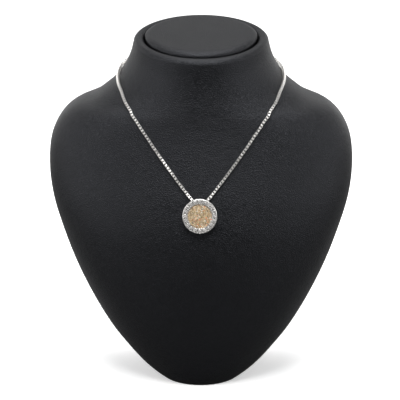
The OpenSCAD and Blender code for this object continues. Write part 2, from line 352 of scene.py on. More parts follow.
class NodeWeb:
    """A node tree that is written from left to right."""

    def __init__(self, tree: NodeTree) -> None:
        """Starts with an empty tree."""
        self.tree = tree
        tree.nodes.clear()

    def add(self, kind: str, inputs: dict | None = None, **settings: object) -> Node:
        """Adds one node.

        Args:
            kind: Blender's name for the node's type.
            inputs: Socket name or number to a value, or to the socket or node that feeds it. A node does
                so by its first output.
            settings: The node's own properties.

        Returns:
            The node.
        """
        node = self.tree.nodes.new(kind)
        for name, value in settings.items():
            setattr(node, name, value)
        for name, value in (inputs or {}).items():
            if isinstance(value, Node):
                value = value.outputs[0]
            if isinstance(value, NodeSocket):
                self.tree.links.new(value, node.inputs[name])
            else:
                node.inputs[name].default_value = value
        return node

    def math(self, operation: str, *values: object) -> NodeSocket:
        """Adds a Math node with its values in order, and returns its result."""
        return self.add("ShaderNodeMath", dict(enumerate(values)), operation=operation).outputs[0]

    def vector(self, operation: str, inputs: dict) -> NodeSocket:
        """Adds a Vector Math node with its inputs, and returns its vector."""
        return self.add("ShaderNodeVectorMath", inputs, operation=operation).outputs[0]

    def noise(self, place: NodeSocket, scale: object, detail: float) -> Node:
        """Adds a Noise Texture node."""
        return self.add("ShaderNodeTexNoise", {"Vector": place, "Scale": scale, "Detail": detail})

    def remap(self, value: object, span: Sequence[object], to: Sequence[object],
              kind: str = "LINEAR") -> NodeSocket:
        """Adds a Map Range node from the ends of a span to two other values, and returns its result."""
        ends = zip(("Value", "From Min", "From Max", "To Min", "To Max"), (value, *span, *to))
        return self.add("ShaderNodeMapRange", dict(ends), interpolation_type=kind).outputs[0]

    def turned(self, rotation: object, angles: object) -> Node:
        """Adds a turn by Euler angles in a rotation's own frame, and returns the node with the result."""
        turn = self.add("FunctionNodeEulerToRotation", {0: angles})
        return self.add("FunctionNodeRotateRotation", {"Rotation": rotation, "Rotate By": turn},
                        rotation_space="LOCAL")

    def ramp(self, fac: NodeSocket, stops: Sequence[tuple[float, Colour]],
             stepped: bool = False) -> NodeSocket:
        """Adds a colour ramp.

        Args:
            fac: What it reads.
            stops: Position and colour of each stop.
            stepped: Whether the colours change in steps and not smoothly.

        Returns:
            Its colour output.
        """
        node = self.add("ShaderNodeValToRGB", {"Fac": fac})
        elements = node.color_ramp.elements
        node.color_ramp.interpolation = "CONSTANT" if stepped else "LINEAR"
        while len(elements) < len(stops):
            elements.new(0.5)
        for element, (position, colour) in zip(elements, stops):
            element.position = position
            element.color = (*colour, 1.0)
        return node.outputs["Color"]


class Shell:
    """A Geometry Nodes tree on one object, which ends as a plain mesh."""

    def __init__(self, name: str) -> None:
        """Starts the tree with its geometry sockets.

        Args:
            name: Name of the tree.
        """
        self.tree = bpy.data.node_groups.new(name, "GeometryNodeTree")
        self.web = NodeWeb(self.tree)
        for way in ("INPUT", "OUTPUT"):
            self.tree.interface.new_socket("Geometry", in_out=way, socket_type="NodeSocketGeometry")
        self.values: dict[str, object] = {}
        self.start = self.web.add("NodeGroupInput")

    def size(self, name: str, value: float | int | Material) -> NodeSocket:
        """Adds a named input.

        Args:
            name: Name of the input.
            value: What the modifier sets it to: a whole number, a number or a material.

        Returns:
            The socket to link from.
        """
        if isinstance(value, Material):
            kind = "NodeSocketMaterial"
        else:
            kind = "NodeSocketInt" if isinstance(value, int) else "NodeSocketFloat"
        made = self.tree.interface.new_socket(name, in_out="INPUT", socket_type=kind)
        self.values[made.identifier] = value
        return self.start.outputs[name]

    def finish(self, geometry: Node, material: Material, smooth: bool) -> None:
        """Ends the tree: realizes the instances, sets their shading and their material.

        Args:
            geometry: The node that gives the instances.
            material: Their material.
            smooth: Whether their faces are shaded smooth.
        """
        real = self.web.add("GeometryNodeRealizeInstances", {"Geometry": geometry})
        shaded = self.web.add("GeometryNodeSetShadeSmooth", {0: real, "Shade Smooth": smooth})
        self.web.add("NodeGroupOutput", {0: self.web.add("GeometryNodeSetMaterial", {
            "Geometry": shaded, "Material": self.size("Material", material)})})

    def apply(self, carrier: Object) -> Object:
        """Runs the tree on an object and keeps the result as its plain mesh.

        Args:
            carrier: The object whose mesh the tree starts from.

        Returns:
            The same object, with the new mesh and no modifier.
        """
        modifier = carrier.modifiers.new(self.tree.name, "NODES")
        modifier.node_group = self.tree
        for identifier, value in self.values.items():
            modifier[identifier] = value
        evaluated = carrier.evaluated_get(bpy.context.evaluated_depsgraph_get())
        mesh = bpy.data.meshes.new_from_object(evaluated)
        mesh.name = carrier.name
        carrier.modifiers.remove(modifier)
        carrier.data = mesh
        return carrier


def effect_group(name: str, inputs: Sequence[tuple[str, str, float]], outputs: Sequence[tuple[str, str]],
                 fill: Callable[[NodeWeb, Node], dict[str, NodeSocket]]) -> NodeTree:
    """Builds a shader node group once.

    Args:
        name: Name of the group.
        inputs: Name, kind (Float or Vector) and first value of each input.
        outputs: Name and kind of each output.
        fill: Builds the inside from the web and the group's input node, and gives a socket for each output.

    Returns:
        The group.
    """
    found = bpy.data.node_groups.get(name)
    if found:
        return found
    group = bpy.data.node_groups.new(name, "ShaderNodeTree")
    for title, kind, value in inputs:
        made = group.interface.new_socket(title, in_out="INPUT", socket_type="NodeSocket" + kind)
        if kind == "Float":
            made.default_value = value
    for title, kind in outputs:
        group.interface.new_socket(title, in_out="OUTPUT", socket_type="NodeSocket" + kind)
    web = NodeWeb(group)
    made = fill(web, web.add("NodeGroupInput"))
    web.add("NodeGroupOutput", made)
    return group


def grain_inside(web: NodeWeb, start: Node) -> dict[str, NodeSocket]:
    """Pebbled grain: small cells with creases between them, drawn out a little by a slow noise.

    Args:
        web: The web to build in.
        start: The group's input node.

    Returns:
        A socket for each output of the group.
    """
    bend, bend_scale, crease_reach = 1.6, 0.35, 0.28
    fine_height, fine_scale, slow_height, slow_scale = 0.35, 2.2, 0.8, 0.22
    per_metre = web.math("DIVIDE", 1.0, start.outputs["Grain Size"])
    place = web.vector("SCALE", {0: start.outputs["Place"], "Scale": per_metre})
    wander = web.noise(place, bend_scale, 2.0).outputs["Color"]
    bent = web.vector("MULTIPLY_ADD", {0: wander, 1: (bend,) * 3, 2: place})
    cells = web.add("ShaderNodeTexVoronoi", {"Vector": bent, "Scale": 1.0, "Randomness": 0.9},
                    feature="DISTANCE_TO_EDGE")
    pebble = web.remap(cells.outputs["Distance"], (0.0, crease_reach), (0.0, 1.0), "SMOOTHSTEP")
    fine = web.noise(place, fine_scale, 3.0).outputs["Fac"]
    slow = web.noise(place, slow_scale, 2.0).outputs["Fac"]
    height = web.math("MULTIPLY_ADD", fine, fine_height, pebble)
    return {"Height": web.math("MULTIPLY_ADD", slow, slow_height, height), "Crease": pebble}


def leather_grain() -> NodeTree:
    """The group for pebbled grain, with its height and a mask that is 0 in the creases."""
    return effect_group("pebbled_grain", [("Place", "Vector", 0.0), ("Grain Size", "Float", 0.001)],
                        [("Height", "Float"), ("Crease", "Float")], grain_inside)


def handling_inside(web: NodeWeb, start: Node) -> dict[str, NodeSocket]:
    """Slow patches between two values, as handling leaves on a surface.

    Args:
        web: The web to build in.
        start: The group's input node.

    Returns:
        A socket for each output of the group.
    """
    usual_span = (0.3, 0.7)
    per_metre = web.math("DIVIDE", 1.0, start.outputs["Patch Size"])
    noise = web.noise(start.outputs["Place"], per_metre, 4.0).outputs["Fac"]
    return {"Value": web.remap(noise, usual_span, (start.outputs["Low"], start.outputs["High"]))}


def handling_patches() -> NodeTree:
    """The group for slow patches, with their value."""
    return effect_group("handling_patches", [("Place", "Vector", 0.0), ("Patch Size", "Float", 0.01),
                                             ("Low", "Float", 0.0), ("High", "Float", 1.0)],
                        [("Value", "Float")], handling_inside)


class Finish:
    """A material in the making: its web, its place on the object and its shader."""

    def __init__(self, name: str, constants: dict[str, object]) -> None:
        """Starts the material.

        Args:
            name: Name of the material.
            constants: Values of the shader's sockets that are the same all over the surface.
        """
        self.material = bpy.data.materials.new(name)
        self.material.use_nodes = True
        self.web = NodeWeb(self.material.node_tree)
        self.place = self.web.add("ShaderNodeTexCoord").outputs["Object"]
        self.shader = self.web.add("ShaderNodeBsdfPrincipled", constants)
        self.web.add("ShaderNodeOutputMaterial", {"Surface": self.shader.outputs["BSDF"]})

    def feed(self, **sockets: NodeSocket) -> None:
        """Links outputs to the shader's sockets, named with _ for a space."""
        for name, socket in sockets.items():
            self.web.tree.links.new(socket, self.shader.inputs[name.replace("_", " ")])

    def patches(self, size: float, low: float, high: float) -> NodeSocket:
        """Places the handling group, with patches of a size in millimetres between two values."""
        values = {"Place": self.place, "Patch Size": size * MM, "Low": low, "High": high}
        return self.web.add("ShaderNodeGroup", values, node_tree=handling_patches()).outputs["Value"]

    def bump(self, height: NodeSocket, depth: float) -> None:
        """Turns a height into a bump of a depth in millimetres."""
        bump = self.web.add("ShaderNodeBump", {"Height": height, "Distance": depth * MM, "Strength": 1.0})
        self.feed(Normal=bump.outputs["Normal"])


@dataclass(frozen=True)
class Leatherette:
    """Grained leatherette."""

    name: str
    colour: Colour = (0.0045, 0.0046, 0.0052)
    crease_colour: Colour = (0.0030, 0.0031, 0.0036)
    grain_size: float = 1.2
    grain_depth: float = 0.10
    roughness: tuple[float, float] = (0.36, 0.42)
    patch_size: float = 22.0
    gloss: float = 0.29
    gloss_tint: Colour = (0.88, 0.91, 1.0)
    crease_edge: float = 0.7

    def make(self) -> Material:
        """Builds the material.

        Returns:
            The material.
        """
        constants = {"Specular IOR Level": self.gloss, "Specular Tint": (*self.gloss_tint, 1.0)}
        finish = Finish(self.name, constants)
        values = {"Place": finish.place, "Grain Size": self.grain_size * MM}
        grain = finish.web.add("ShaderNodeGroup", values, node_tree=leather_grain()).outputs
        stops = [(0.0, self.crease_colour), (self.crease_edge, self.colour)]
        finish.feed(Base_Color=finish.web.ramp(grain["Crease"], stops),
                    Roughness=finish.patches(self.patch_size, *self.roughness))
        finish.bump(grain["Height"], self.grain_depth)
        return finish.material


@dataclass(frozen=True)
class Silver:
    """Polished silver with painted shade, dark where the attribute named hollow is high."""

    name: str
    colour: Colour = (0.94, 0.92, 0.89)
    painted_shade_colour: Colour = (0.03, 0.028, 0.027)
    roughness: tuple[float, float] = (0.30, 0.42)
    patch_size: float = 2.5
    scuff_size: float = 0.35
    scuff_depth: float = 0.004

    def make(self) -> Material:
        """Builds the material.

        Returns:
            The material.
        """
        finish = Finish(self.name, {"Metallic": 1.0})
        hollow = finish.web.add("ShaderNodeAttribute", attribute_name="hollow")
        # Painted shade: the colour runs to near black where hollow is high.
        colour = finish.web.ramp(hollow.outputs["Fac"], [(0.0, self.colour), (1.0, self.painted_shade_colour)])
        finish.feed(Base_Color=colour, Roughness=finish.patches(self.patch_size, *self.roughness))
        finish.bump(finish.patches(self.scuff_size, 0.0, 1.0), self.scuff_depth)
        return finish.material


class SandGrain(Enum):
    """The kinds of sand grain: the share of each among all grains, and its colour."""

    TAN = (0.25, (0.50, 0.34, 0.18))
    BEIGE = (0.24, (0.62, 0.46, 0.28))
    CREAM = (0.18, (0.80, 0.66, 0.44))
    BROWN = (0.11, (0.28, 0.18, 0.09))
    OLIVE = (0.09, (0.38, 0.32, 0.14))
    PINK = (0.03, (0.68, 0.42, 0.28))
    CORAL = (0.02, (0.80, 0.17, 0.03))
    DARK = (0.03, (0.04, 0.036, 0.03))
    WHITE = (0.05, (0.97, 0.94, 0.86))

    @property
    def share(self) -> float:
        """Share of this kind."""
        return self.value[0]

    @property
    def colour(self) -> Colour:
        """Colour of this kind."""
        return self.value[1]


@dataclass(frozen=True)
class Sand:
    """Sand set in resin. Each grain's kind is read from the attribute named tint, from 0 to 1.

    Speckle, mottle and sheen are a patch size and the values at its darkest and lightest.
    """

    name: str
    coat: float = 0.5
    coat_roughness: float = 0.08
    speckle: tuple[float, float, float] = (0.3, 0.75, 1.15)
    mottle: tuple[float, float, float] = (1.6, 0.72, 1.28)
    sheen: tuple[float, float, float] = (1.5, 0.25, 0.45)
    grit_size: float = 0.18
    grit_depth: float = 0.02

    def make(self) -> Material:
        """Builds the material.

        Returns:
            The material.
        """
        finish = Finish(self.name, {"Coat Weight": self.coat, "Coat Roughness": self.coat_roughness})
        web = finish.web
        tint = web.add("ShaderNodeAttribute", attribute_name="tint")
        stops, position = [], 0.0
        for grain in SandGrain:
            stops.append((position, grain.colour))
            position += grain.share
        kinds = web.ramp(tint.outputs["Fac"], stops, stepped=True)
        shade = web.math("MULTIPLY", finish.patches(*self.speckle), finish.patches(*self.mottle))
        colour = web.add("ShaderNodeMix", {6: kinds, 7: shade, 0: 1.0},
                         data_type="RGBA", blend_type="MULTIPLY")
        finish.feed(Base_Color=colour.outputs[2], Roughness=finish.patches(*self.sheen))
        finish.bump(finish.patches(self.grit_size, 0.0, 1.0), self.grit_depth)
        return finish.material


@dataclass(frozen=True)
class CutStone:
    """A clear cut stone."""

    name: str
    colour: Colour = (0.98, 0.96, 0.94)
    refraction: float = 1.7
    clearness: float = 0.72
    roughness: tuple[float, float] = (0.0, 0.04)
    patch_size: float = 1.0

    def make(self) -> Material:
        """Builds the material.

        Returns:
            The material.
        """
        finish = Finish(self.name, {"Base Color": (*self.colour, 1.0), "IOR": self.refraction,
                                    "Transmission Weight": self.clearness})
        finish.feed(Roughness=finish.patches(self.patch_size, *self.roughness))
        return finish.material


@dataclass
class NeckBust:
    """The bust: a flat foot, a heart-shaped chest, shoulders, a leaning neck and its rim roll."""

    skin: BustSkin
    finish: Leatherette
    columns: int = 192
    row_step: float = 1.8
    rim_roll_r: float = 3.5
    inner_roll_r: float = 3.7
    recess_depth: float = 1.8
    roll_steps: int = 12

    def rings(self) -> list[np.ndarray]:
        """The rings of the bust's mesh, from the foot to the floor of the recess.

        Returns:
            The rings, each anticlockwise from above.
        """
        angles, top = full_turn(self.columns), self.skin.top_height
        heights = np.linspace(0, top, round(top / self.row_step) + 1)[:-1]
        wall = [self.skin.ring(h, angles) for h in heights]
        turns = np.radians(np.linspace(0, 90, self.roll_steps + 1))
        out, back = self.rim_roll_r, self.inner_roll_r
        edge = [(out * (1 - math.cos(t)), out * math.sin(t)) for t in turns]
        edge += [(out + back * math.sin(t), out - back * (1 - math.cos(t))) for t in turns[1:]]
        edge.append((out + back, -self.recess_depth))
        return wall + [self.skin.ring(top, angles, inset, rise) for inset, rise in edge]

    def build(self) -> Object:
        """Makes the bust's piece."""
        piece = skinned("bust_cover", self.rings())
        return dress(piece, "bust_leatherette", "neck_bust", material=self.finish.make())


@dataclass
class NeckCap:
    """The padded cap that fills the recess in the top of the neck."""

    skin: BustSkin
    finish: Leatherette
    columns: int = 160
    side_inset: float = 7.5
    foot_rise: float = -1.5
    edge_width: float = 4.8
    edge_height: float = 2.8
    rise: float = 5.9
    crown: float = 0.5
    crown_shares: tuple[float, float] = (0.95, 0.05)
    rows: int = 19

    def build(self) -> Object:
        """Makes the cap's piece.

        Returns:
            The piece.
        """
        angles, top = full_turn(self.columns), self.skin.top_height
        foot = self.skin.ring(top, angles, self.side_inset, self.foot_rise)
        edge = [self.skin.ring(top, angles, self.side_inset + self.edge_width * (1 - math.cos(t)),
                               self.rise - self.edge_height * (1 - math.sin(t)))
                for t in np.radians(np.linspace(0, 90, self.rows))]
        lip = edge[-1]
        middle = lip.mean(axis=0)
        crown = []
        for k in np.linspace(*self.crown_shares, self.rows):
            ring = middle + (lip - middle) * k
            ring[:, 2] += self.crown * (1 - k**2)
            crown.append(ring)
        piece = skinned("cap_cover", [foot, *edge, *crown])
        dress(piece, "cap_leatherette", "neck_cap", material=self.finish.make())
        return piece


@dataclass
class BoxChain:
    """The chain: square links of flat wire, each turned a quarter from the one before."""

    route: ChainRoute
    finish: Silver
    link_length: float = 1.41
    link_width: float = 1.78
    band_width: float = 1.5
    band_thickness: float = 0.17
    corner_share: float = 0.9
    ease_share: float = 0.25
    painted_shade_span: tuple[float, float] = (0.78, 0.94)
    start: float = 3.9
    route_step: float = 0.4
    wander: float = 16.0
    wander_pace: float = 0.035

    def build(self) -> Object:
        """Makes the whole loop of links, which stands for the tube.

        Returns:
            The piece.
        """
        stops = np.arange(self.start, 2 * self.route.half - self.start, self.route_step)
        places = [self.route.at(s) for s in stops]
        points = np.array([p for p, _ in places])
        loop = float(np.linalg.norm(np.diff(points, axis=0), axis=1).sum())
        pitch = self.link_length - 2 * self.band_thickness
        links = round(loop / pitch) + 1
        LOG.info("chain: %.1f mm of links, %d of them, pitch %.3f mm", loop, links, loop / (links - 1))

        mesh = bpy.data.meshes.new("chain_links")
        mesh.from_pydata([Vector(p) * MM for p in points], [(i, i + 1) for i in range(len(points) - 1)], [])
        out = mesh.attributes.new("skin_out", "FLOAT_VECTOR", "POINT")
        out.data.foreach_set("vector", np.array([o for _, o in places], np.float32).ravel())
        piece = self.tree(links).apply(linked("chain_links", mesh))
        return dress(piece, "chain_silver", "chain")

    def tree(self, links: int) -> Shell:
        """The tree that strings the links on the route.

        Args:
            links: Number of links.

        Returns:
            The tree with its values.
        """
        shell = Shell("box_chain")
        web = shell.web
        count = shell.size("Links", links)
        length = shell.size("Link Length", self.link_length * MM)
        width = shell.size("Link Width", self.link_width * MM)
        band = shell.size("Band Width", self.band_width * MM)
        thick = shell.size("Band Thickness", self.band_thickness * MM)
        wander = shell.size("Wander", math.radians(self.wander))

        def frame_curve(across: NodeSocket, along: NodeSocket, rounding: float) -> Node:
            """A closed rectangle, its corners cut by a share of the band's thickness.

            Args:
                across: Its width.
                along: Its height.
                rounding: The share.

            Returns:
                The node that gives it.
            """
            square = web.add("GeometryNodeCurvePrimitiveQuadrilateral", {"Width": across, "Height": along})
            radius = web.math("MULTIPLY", thick, rounding)
            return web.add("GeometryNodeFilletCurve", {"Curve": square, "Count": 1, "Radius": radius},
                           mode="POLY")

        way = web.add("GeometryNodeMeshToCurve", {"Mesh": shell.start.outputs["Geometry"]})
        evenly = web.add("GeometryNodeResampleCurve", {"Curve": way, "Count": count}, mode="COUNT")
        middle_line = frame_curve(web.math("SUBTRACT", length, thick), web.math("SUBTRACT", width, thick),
                                  self.corner_share)
        band_loop = web.add("GeometryNodeCurveToMesh", {
            "Curve": middle_line, "Profile Curve": frame_curve(thick, band, self.ease_share)})
        halves = web.add("ShaderNodeCombineXYZ", {
            "X": web.math("MULTIPLY", length, 0.5), "Y": web.math("MULTIPLY", width, 0.5), "Z": 1.0})
        off = web.vector("ABSOLUTE", {0: web.add("GeometryNodeInputPosition")})
        share = web.add("ShaderNodeSeparateXYZ", {0: web.vector("DIVIDE", {0: off, 1: halves})})
        outermost = web.math("MAXIMUM", share.outputs[0], share.outputs[1])
        # Painted shade inside each link: points near its middle get a high hollow value, which darkens the
        # silver.
        link = web.add("GeometryNodeStoreNamedAttribute", {
            "Geometry": band_loop, "Name": "hollow",
            "Value": web.remap(outermost, self.painted_shade_span, (1.0, 0.0))}, data_type="FLOAT", domain="POINT")

        along = web.add("GeometryNodeInputTangent")
        out = web.add("GeometryNodeInputNamedAttribute", {"Name": "skin_out"}, data_type="FLOAT_VECTOR")
        laid = web.add("FunctionNodeAxesToRotation", {"Primary Axis": along, "Secondary Axis": out},
                       primary_axis="X", secondary_axis="Z")
        index = web.add("GeometryNodeInputIndex")
        quarter = web.math("MULTIPLY", web.math("MODULO", index, 2.0), math.pi / 2)
        drift = web.add("ShaderNodeTexNoise", {"W": index, "Scale": self.wander_pace, "Detail": 1.0},
                        noise_dimensions="1D")
        sway = web.math("MULTIPLY", web.math("SUBTRACT", drift, 0.5), wander)
        roll = web.add("ShaderNodeCombineXYZ", {"X": web.math("MULTIPLY_ADD", sway, 2.0, quarter)})
        strung = web.add("GeometryNodeInstanceOnPoints", {
            "Points": evenly, "Instance": link, "Rotation": web.turned(laid, roll)})
        shell.finish(strung, self.finish.make(), smooth=False)
        return shell


@dataclass
class Clasp:
    """The plain barrel that closes the chain at the nape."""

    route: ChainRoute
    finish: Silver
    length: float = 9.0
    diameter: float = 3.2
    end_r: float = 1.1
    end_len: float = 0.9
    end_ease: float = 0.15
    rounding: float = 0.25
    groove: tuple[tuple[float, float], ...] = ((0.9, 0.0), (1.0, 0.12), (1.15, 0.12), (1.25, 0.0))
    sides: int = 48

    def build(self) -> Object:
        """Makes the barrel, with rounded ends and a ring turned into it at each end of its body.

        Returns:
            The piece.
        """
        r, end = self.diameter / 2, self.length / 2
        body = end - self.end_len
        half = [(self.end_r - self.end_ease, end), (self.end_r, end - self.end_ease), (self.end_r, body),
                *arc(r - self.rounding, body - self.rounding, self.rounding, 90, 0, 4),
                *[(r - deep, body - along) for along, deep in self.groove]]
        profile = [(x, -z) for x, z in half] + half[::-1]
        middle, _ = self.route.at(0.0)
        place = Matrix.Translation(Vector(middle)) @ TO_X
        piece = skinned("clasp_barrel", lathe(profile, self.sides), place)
        return dress(piece, "chain_silver", "clasp", material=self.finish.make())


@dataclass
class Pendant:
    """The pendant in its own frame: +Z out of its face, +Y up its face, its back at height 0."""

    route: ChainRoute
    silver: Silver
    sand: Sand
    stone: CutStone
    stones: int = 20
    halo_r: float = 9.55
    collar_r: float = 1.65
    seen_collar_r: float = 1.39
    field_width: float = 1.3
    field_depth: float = 1.1
    rim_inset: float = 0.05
    rim_drop: float = 0.12
    shade_start: float = 0.1
    shade_depth: float = 0.3
    shade_margin: float = 0.1
    thickness: float = 4.0
    sand_r: float = 7.75
    sand_recess: float = 0.9
    sand_dome: float = 0.4
    stone_r: float = 1.15
    stone_gap: float = 0.05
    back_r: float = 10.2
    back_t: float = 0.9
    back_flat: float = 0.9
    bail_in_r: float = 1.3
    bail_out_r: float = 2.0
    bail_len: float = 3.0
    bail_up: float = 7.6
    bail_drop: float = 1.45
    lean: float = 7.0
    cup_sides: int = 128
    collar_sides: int = 40
    bed_lift: float = 0.3
    bed_sides: int = 96
    bed_rows: int = 14
    bed_tint: float = 0.1
    fine_sides: int = 48
    grains: int = 3000
    grains_inset: float = 0.25
    grain_rows: int = 8
    grain_r: tuple[float, float] = (0.16, 0.55)
    grain_skew: float = 2.6
    showy_r: float = 0.72
    showy_least: float = 0.7
    showy: tuple[tuple[int, tuple[float, float]], ...] = (
        (7, (0.905, 0.915)), (6, (0.93, 0.94)), (8, (0.96, 1.0)))
    seed: int = 8
    place: Matrix = field(init=False)

    def __post_init__(self) -> None:
        """Works out where the pendant hangs."""
        self.place = self.route.pendant_place(self.lean, self.bail_up, self.bail_drop)

    def build(self) -> list[Object]:
        """Makes every piece of the pendant."""
        metal = [self.cup(), self.bail(), self.collars()]
        return [*metal, self.sand_bed(), self.sand_grains(), *self.dress_stones()]

    def cup(self) -> Object:
        """The cup: back plate, cone, broad rim, the sunk field under the collars and the sand's lip.

        Returns:
            The piece.
        """
        hub_r, ease, foot_round, rim_round, field_round, lip_round = 0.2, 0.1, 0.6, 0.4, 0.15, 0.2
        cone_z, rim_foot_z = 1.6, 1.75
        field_z, rim_z = self.thickness - self.field_depth, self.thickness - self.rim_drop
        flat_r, wall_r = self.back_r - self.back_flat, self.sand_r + ease
        rim_r = self.halo_r + self.collar_r - self.rim_inset
        near, far = self.halo_r - self.field_width / 2, self.halo_r + self.field_width / 2
        profile = [(hub_r, 0.0), (flat_r, 0.0),
                   *arc(self.back_r - foot_round, foot_round, foot_round, -90, -10, 5),
                   (rim_r - ease, cone_z), (rim_r, rim_foot_z),
                   *arc(rim_r - rim_round, rim_z - rim_round, rim_round, 0, 90, 6),
                   *arc(far + field_round, rim_z - field_round, field_round, 90, 180, 4),
                   (far, field_z), (near, field_z),
                   *arc(near - field_round, rim_z - field_round, field_round, 0, 90, 4),
                   *arc(wall_r + lip_round, rim_z - lip_round, lip_round, 90, 180, 4),
                   (wall_r, self.back_t + ease / 2), (wall_r - ease, self.back_t), (hub_r, self.back_t)]
        piece = skinned("setting_cup", lathe(profile, self.cup_sides), self.place)
        # Painted shade in the sunk field round the collars.
        self.mark_painted_shade(piece, rim_z - self.shade_start)
        return dress(piece, "setting_silver", "pendant_setting", material=self.silver.make())

    def mark_painted_shade(self, piece: Object, height: float) -> None:
        """Stores painted shade for the halo: a value that grows with how deep each point lies.

        Args:
            piece: A piece of the setting.
            height: Height in the pendant's frame where the hollow starts.
        """
        back, reach = self.place.inverted(), self.field_width / 2 + self.shade_margin
        values = []
        for vertex in piece.data.vertices:
            p = back @ (vertex.co / MM)
            in_ring = abs(math.hypot(p.x, p.y) - self.halo_r) < reach
            deep = (height - p.z) / self.shade_depth
            values.append(min(1.0, max(0.0, deep)) if in_ring else 0.0)
        store(piece.data, "hollow", values)

    def bail(self) -> Object:
        """The tube behind the top that the chain runs through.

        Returns:
            The piece.
        """
        half, ease, sides = self.bail_len / 2, 0.15, self.fine_sides
        inner, outer = self.bail_in_r, self.bail_out_r
        profile = [(outer - ease, -half), (outer, ease - half), (outer, half - ease), (outer - ease, half),
                   (inner + ease, half), (inner, half - ease), (inner, ease - half), (inner + ease, -half)]
        place = self.place @ Matrix.Translation((0, self.bail_up, -self.bail_drop)) @ TO_X
        piece = new_object("setting_bail", np.concatenate(lathe(profile, sides)),
                           walls(len(profile), sides, joined=True), place=place)
        return dress(piece, "setting_silver", "pendant_setting", material=self.silver.make())

    def collars(self) -> Object:
        """The ring of collars, one round each stone, with a seat for the stone, and painted shade on their
        walls and under each stone.

        Returns:
            The piece.
        """
        top, bore, out = self.thickness, self.stone_r + self.stone_gap, self.seen_collar_r
        mid, rim = (out + bore) / 2, (out - bore) / 2
        hub_r, foot_z, seat_z, pit_r, shade_gain = 0.05, 2.0, top - 0.4, 0.4, 2.2
        profile = [(hub_r, foot_z), (out, foot_z), (out, top - rim - 0.45), (out, top - rim - 0.1),
                   *arc(mid, top - rim, rim, 0, 180, 6), (bore, seat_z), (pit_r + 0.05, seat_z - 0.55),
                   (pit_r - 0.05, seat_z - 0.7), (hub_r, seat_z - 0.72)]
        one = skinned("halo_collars", lathe(profile, self.collar_sides))
        # Painted shade: the collar's outer wall darkens with depth below its rounded top, and the pit under
        # the stone is dark.
        values = []
        for vertex in one.data.vertices:
            r, deep = math.hypot(vertex.co.x, vertex.co.y) / MM, top - vertex.co.z / MM
            outside = r > mid and deep > rim + 0.05
            values.append(min(1.0, deep * shade_gain) if outside else float(r < pit_r))
        store(one.data, "hollow", values)
        shell = Shell("collar_ring")
        web = shell.web
        count = shell.size("Stones", self.stones)
        radius = shell.size("Halo Radius", self.halo_r * MM)
        ring = web.add("GeometryNodeMeshCircle", {"Vertices": count, "Radius": radius})
        strung = web.add("GeometryNodeInstanceOnPoints", {
            "Points": ring, "Instance": shell.start.outputs["Geometry"]})
        shell.finish(strung, self.silver.make(), smooth=True)
        shell.apply(one)
        top_first = Matrix.Rotation(math.radians(90), 4, "Z")
        one.data.transform(Matrix.Scale(MM, 4) @ self.place @ top_first @ Matrix.Scale(1 / MM, 4))
        return dress(one, "setting_silver", "pendant_setting")

    def sand_rings(self, radius: float, steps: int) -> list[tuple[float, float]]:
        """Radius and height along the domed face of the sand, from its edge to its middle."""
        edge_z, last = self.thickness - self.sand_recess, 0.02
        return [(radius * k, edge_z + self.sand_dome * (1 - k**2)) for k in np.linspace(1, last, steps)]

    def sand_bed(self) -> Object:
        """The body of the sand, under its top grains.

        Returns:
            The piece.
        """
        hub_r, ease, foot = 0.2, 0.1, self.back_t + self.bed_lift
        profile = [(hub_r, foot), (self.sand_r - ease, foot), (self.sand_r, foot + ease),
                   *self.sand_rings(self.sand_r, self.bed_rows)]
        piece = skinned("sand_bed", lathe(profile, self.bed_sides), self.place)
        store(piece.data, "tint", [self.bed_tint] * len(piece.data.vertices))
        return dress(piece, "sand", "sand_disk", material=self.sand.make())

    def sand_grains(self) -> Object:
        """The top grains, strewn over the domed face.

        Returns:
            The piece.
        """
        reach, sides = self.sand_r - self.grains_inset, self.fine_sides
        area = math.pi * reach**2 * MM**2
        rings = lathe(self.sand_rings(reach, self.grain_rows), sides)
        piece = new_object("sand_grains", np.concatenate(rings), walls(len(rings), sides), place=self.place)

        shell = Shell("strewn_sand")
        web = shell.web
        density = shell.size("Density", self.grains / area)
        small = shell.size("Smallest Grain", self.grain_r[0] * MM)
        large = shell.size("Largest Grain", self.grain_r[1] * MM)
        showy = shell.size("Showy Grain", self.showy_r * MM)
        seed = shell.size("Seed", self.seed)
        ground = shell.start.outputs["Geometry"]
        layers = [self.strew(web, ground, density, seed, (small, large), (0.0, 1.0), self.grain_skew)]
        for k, (count, tints) in enumerate(self.showy):
            own_seed = web.math("ADD", seed, 10.0 * (k + 1))
            sizes = (web.math("MULTIPLY", showy, self.showy_least), showy)
            layers.append(self.strew(web, ground, count / area, own_seed, sizes, tints, 1.0))
        joined = web.add("GeometryNodeJoinGeometry")
        for layer in layers:
            web.tree.links.new(layer, joined.inputs[0])
        shell.finish(joined, self.sand.make(), smooth=False)
        return dress(shell.apply(piece), "sand", "sand_disk")

    @staticmethod
    def strew(web: NodeWeb, ground: NodeSocket, density: object, seed: NodeSocket,
              sizes: tuple[object, object], tints: tuple[float, float], skew: float) -> NodeSocket:
        """Strews uneven grains over a face.

        Args:
            web: The web to build in.
            ground: The face.
            density: Grains per square metre.
            seed: Seed of this layer.
            sizes: Radius of the smallest and of the largest grain.
            tints: Range of the tint.
            skew: Above 1 makes small grains more common than large ones.

        Returns:
            The grains, each with its tint.
        """
        def chance(step: float, low: object, high: object, kind: str = "FLOAT") -> NodeSocket:
            """A random value for each grain.

            Args:
                step: What is added to the seed.
                low: The lowest value.
                high: The highest value.
                kind: FLOAT or FLOAT_VECTOR.

            Returns:
                The value.
            """
            first, result = {"FLOAT": (2, 1), "FLOAT_VECTOR": (0, 0)}[kind]
            ends = {first: low, first + 1: high, "Seed": web.math("ADD", seed, step)}
            return web.add("FunctionNodeRandomValue", ends, data_type=kind).outputs[result]

